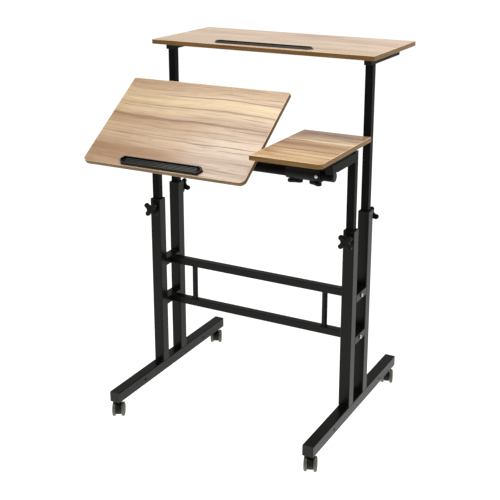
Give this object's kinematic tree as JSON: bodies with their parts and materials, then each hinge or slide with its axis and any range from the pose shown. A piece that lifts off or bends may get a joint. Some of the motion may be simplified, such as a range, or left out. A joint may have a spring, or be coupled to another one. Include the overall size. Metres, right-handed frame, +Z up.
{
  "type": "rolling laptop desk",
  "caption": "Height-adjustable rolling desk with a raised shelf, a tilting laptop panel and a small side shelf on a black tube frame with swivel casters.",
  "frame": {"origin": "on the floor, middle of the object's bounding box", "axes": "+X to the user's right, +Y away from the user, +Z up"},
  "size_m": [0.8478, 0.7342, 1.2464],
  "materials": {
    "wood": "wood-grain laminate, satin",
    "black_steel": "satin black powder coat",
    "black_plastic": "fine matte moulding",
    "zinc_steel": "zinc plated",
    "wheel_tread": "grey tread, dark cover"
  },
  "bodies": {
    "base_frame": {"foot_tube_left": "black_steel", "foot_tube_right": "black_steel", "foot_end_caps": "black_plastic", "column_front_left": "black_steel", "column_rear_left": "black_steel", "column_front_right": "black_steel", "column_rear_right": "black_steel", "side_crosspieces": "black_steel", "rail_upper": "black_steel", "rail_lower": "black_steel", "rail_struts": "black_steel", "frame_bolts": "zinc_steel", "frame_washers": "black_steel", "column_bushes": "black_plastic", "knob_weld_nuts": "black_steel", "caster_sockets": "black_plastic", "caster_stems": "zinc_steel"},
    "upper_carriage": {"upper_leg_left": "black_steel", "upper_leg_right": "black_steel", "upper_leg_sliders": "black_plastic", "upper_arm_left": "black_steel", "upper_arm_right": "black_steel", "upper_arm_caps": "black_plastic", "upper_shelf": "wood", "upper_shelf_screws": "zinc_steel", "upper_stopper": "black_plastic"},
    "lower_carriage": {"lower_leg_left": "black_steel", "lower_leg_right": "black_steel", "lower_leg_sliders": "black_plastic", "lower_arm_left": "black_steel", "lower_arm_right": "black_steel", "lower_deck_caps": "black_plastic", "cross_tube": "black_steel"},
    "laptop_panel": {"tilt_panel": "wood", "tilt_clamps": "black_plastic", "tilt_clamp_screws": "zinc_steel", "tilt_stopper": "black_plastic"},
    "side_panel": {"side_shelf": "wood", "side_clamp": "black_plastic", "side_clamp_screws": "zinc_steel"},
    "star_knob_front_left": {"star_knob_front_left": "black_plastic"},
    "star_knob_rear_left": {"star_knob_rear_left": "black_plastic"},
    "star_knob_front_right": {"star_knob_front_right": "black_plastic"},
    "star_knob_rear_right": {"star_knob_rear_right": "black_plastic"},
    "wing_knob_side_a": {"wing_knob_side_a": "black_plastic"},
    "wing_knob_side_b": {"wing_knob_side_b": "black_plastic"},
    "wing_knob_tilt_a": {"wing_knob_tilt_a": "black_plastic"},
    "wing_knob_tilt_b": {"wing_knob_tilt_b": "black_plastic"},
    "caster_front_left": {"caster_housing_front_left": "black_plastic"},
    "caster_wheel_front_left_a": {"caster_wheel_front_left_a": "wheel_tread"},
    "caster_wheel_front_left_b": {"caster_wheel_front_left_b": "wheel_tread"},
    "caster_rear_left": {"caster_housing_rear_left": "black_plastic"},
    "caster_wheel_rear_left_a": {"caster_wheel_rear_left_a": "wheel_tread"},
    "caster_wheel_rear_left_b": {"caster_wheel_rear_left_b": "wheel_tread"},
    "caster_front_right": {"caster_housing_front_right": "black_plastic"},
    "caster_wheel_front_right_a": {"caster_wheel_front_right_a": "wheel_tread"},
    "caster_wheel_front_right_b": {"caster_wheel_front_right_b": "wheel_tread"},
    "caster_rear_right": {"caster_housing_rear_right": "black_plastic"},
    "caster_wheel_rear_right_a": {"caster_wheel_rear_right_a": "wheel_tread"},
    "caster_wheel_rear_right_b": {"caster_wheel_rear_right_b": "wheel_tread"}
  },
  "joints": [
    {"name": "upper_height", "type": "slide", "parent": "base_frame", "child": "upper_carriage", "axis": [0, 0, 1], "range_m": [-0.15, 0.08]},
    {"name": "deck_height", "type": "slide", "parent": "base_frame", "child": "lower_carriage", "axis": [0, 0, 1], "range_m": [-0.2, 0.06]},
    {"name": "panel_tilt", "type": "hinge", "parent": "lower_carriage", "child": "laptop_panel", "pos_m": [-0.13085, -0.21048, 0.9101], "axis": [1, 0, 0], "range_deg": [-35.2, 39.5]},
    {"name": "side_shelf_tilt", "type": "hinge", "parent": "lower_carriage", "child": "side_panel", "pos_m": [0.2867, -0.21048, 0.9101], "axis": [1, 0, 0], "range_deg": [0, 60]},
    {"name": "star_knob_front_left_turn", "type": "hinge", "parent": "base_frame", "child": "star_knob_front_left", "pos_m": [-0.3361, -0.08488, 0.6705], "axis": [0, -1, 0], "range_deg": [0, 270]},
    {"name": "star_knob_rear_left_turn", "type": "hinge", "parent": "base_frame", "child": "star_knob_rear_left", "pos_m": [-0.3361, 0.09512, 0.702], "axis": [0, 1, 0], "range_deg": [0, 270]},
    {"name": "star_knob_front_right_turn", "type": "hinge", "parent": "base_frame", "child": "star_knob_front_right", "pos_m": [0.3839, -0.08488, 0.6705], "axis": [0, -1, 0], "range_deg": [0, 270]},
    {"name": "star_knob_rear_right_turn", "type": "hinge", "parent": "base_frame", "child": "star_knob_rear_right", "pos_m": [0.3839, 0.09512, 0.702], "axis": [0, 1, 0], "range_deg": [0, 270]},
    {"name": "wing_knob_side_a_turn", "type": "hinge", "parent": "side_panel", "child": "wing_knob_side_a", "pos_m": [0.2632, -0.21048, 0.8801], "axis": [0, 0, -1], "range_deg": [0, 180]},
    {"name": "wing_knob_side_b_turn", "type": "hinge", "parent": "side_panel", "child": "wing_knob_side_b", "pos_m": [0.3297, -0.21048, 0.8801], "axis": [0, 0, -1], "range_deg": [0, 180]},
    {"name": "wing_knob_tilt_a_turn", "type": "hinge", "parent": "laptop_panel", "child": "wing_knob_tilt_a", "pos_m": [-0.2741, -0.19318, 0.88559], "axis": [0, 0.5764, -0.8171], "range_deg": [0, 180]},
    {"name": "wing_knob_tilt_b_turn", "type": "hinge", "parent": "laptop_panel", "child": "wing_knob_tilt_b", "pos_m": [0.0279, -0.19318, 0.88559], "axis": [0, 0.5764, -0.8171], "range_deg": [0, 180]},
    {"name": "caster_front_left_swivel", "type": "hinge", "parent": "base_frame", "child": "caster_front_left", "pos_m": [-0.3361, -0.32588, 0.048], "axis": [0, 0, 1], "continuous": true},
    {"name": "caster_wheel_front_left_a_roll", "type": "hinge", "parent": "caster_front_left", "child": "caster_wheel_front_left_a", "pos_m": [-0.33037, -0.33642, 0.025], "axis": [0.8788, 0.4772, 0], "continuous": true},
    {"name": "caster_wheel_front_left_b_roll", "type": "hinge", "parent": "caster_front_left", "child": "caster_wheel_front_left_b", "pos_m": [-0.33037, -0.33642, 0.025], "axis": [0.8788, 0.4772, 0], "continuous": true},
    {"name": "caster_rear_left_swivel", "type": "hinge", "parent": "base_frame", "child": "caster_rear_left", "pos_m": [-0.3361, 0.33612, 0.048], "axis": [0, 0, 1], "continuous": true},
    {"name": "caster_wheel_rear_left_a_roll", "type": "hinge", "parent": "caster_rear_left", "child": "caster_wheel_rear_left_a", "pos_m": [-0.33084, 0.32534, 0.025], "axis": [0.8988, 0.4384, 0], "continuous": true},
    {"name": "caster_wheel_rear_left_b_roll", "type": "hinge", "parent": "caster_rear_left", "child": "caster_wheel_rear_left_b", "pos_m": [-0.33084, 0.32534, 0.025], "axis": [0.8988, 0.4384, 0], "continuous": true},
    {"name": "caster_front_right_swivel", "type": "hinge", "parent": "base_frame", "child": "caster_front_right", "pos_m": [0.3839, -0.32588, 0.048], "axis": [0, 0, 1], "continuous": true},
    {"name": "caster_wheel_front_right_a_roll", "type": "hinge", "parent": "caster_front_right", "child": "caster_wheel_front_right_a", "pos_m": [0.3882, -0.33708, 0.025], "axis": [0.9336, 0.3584, 0], "continuous": true},
    {"name": "caster_wheel_front_right_b_roll", "type": "hinge", "parent": "caster_front_right", "child": "caster_wheel_front_right_b", "pos_m": [0.3882, -0.33708, 0.025], "axis": [0.9336, 0.3584, 0], "continuous": true},
    {"name": "caster_rear_right_swivel", "type": "hinge", "parent": "base_frame", "child": "caster_rear_right", "pos_m": [0.3839, 0.33612, 0.048], "axis": [0, 0, 1], "continuous": true},
    {"name": "caster_wheel_rear_right_a_roll", "type": "hinge", "parent": "caster_rear_right", "child": "caster_wheel_rear_right_a", "pos_m": [0.38761, 0.32471, 0.025], "axis": [0.9511, 0.309, 0], "continuous": true},
    {"name": "caster_wheel_rear_right_b_roll", "type": "hinge", "parent": "caster_rear_right", "child": "caster_wheel_rear_right_b", "pos_m": [0.38761, 0.32471, 0.025], "axis": [0.9511, 0.309, 0], "continuous": true}
  ]
}
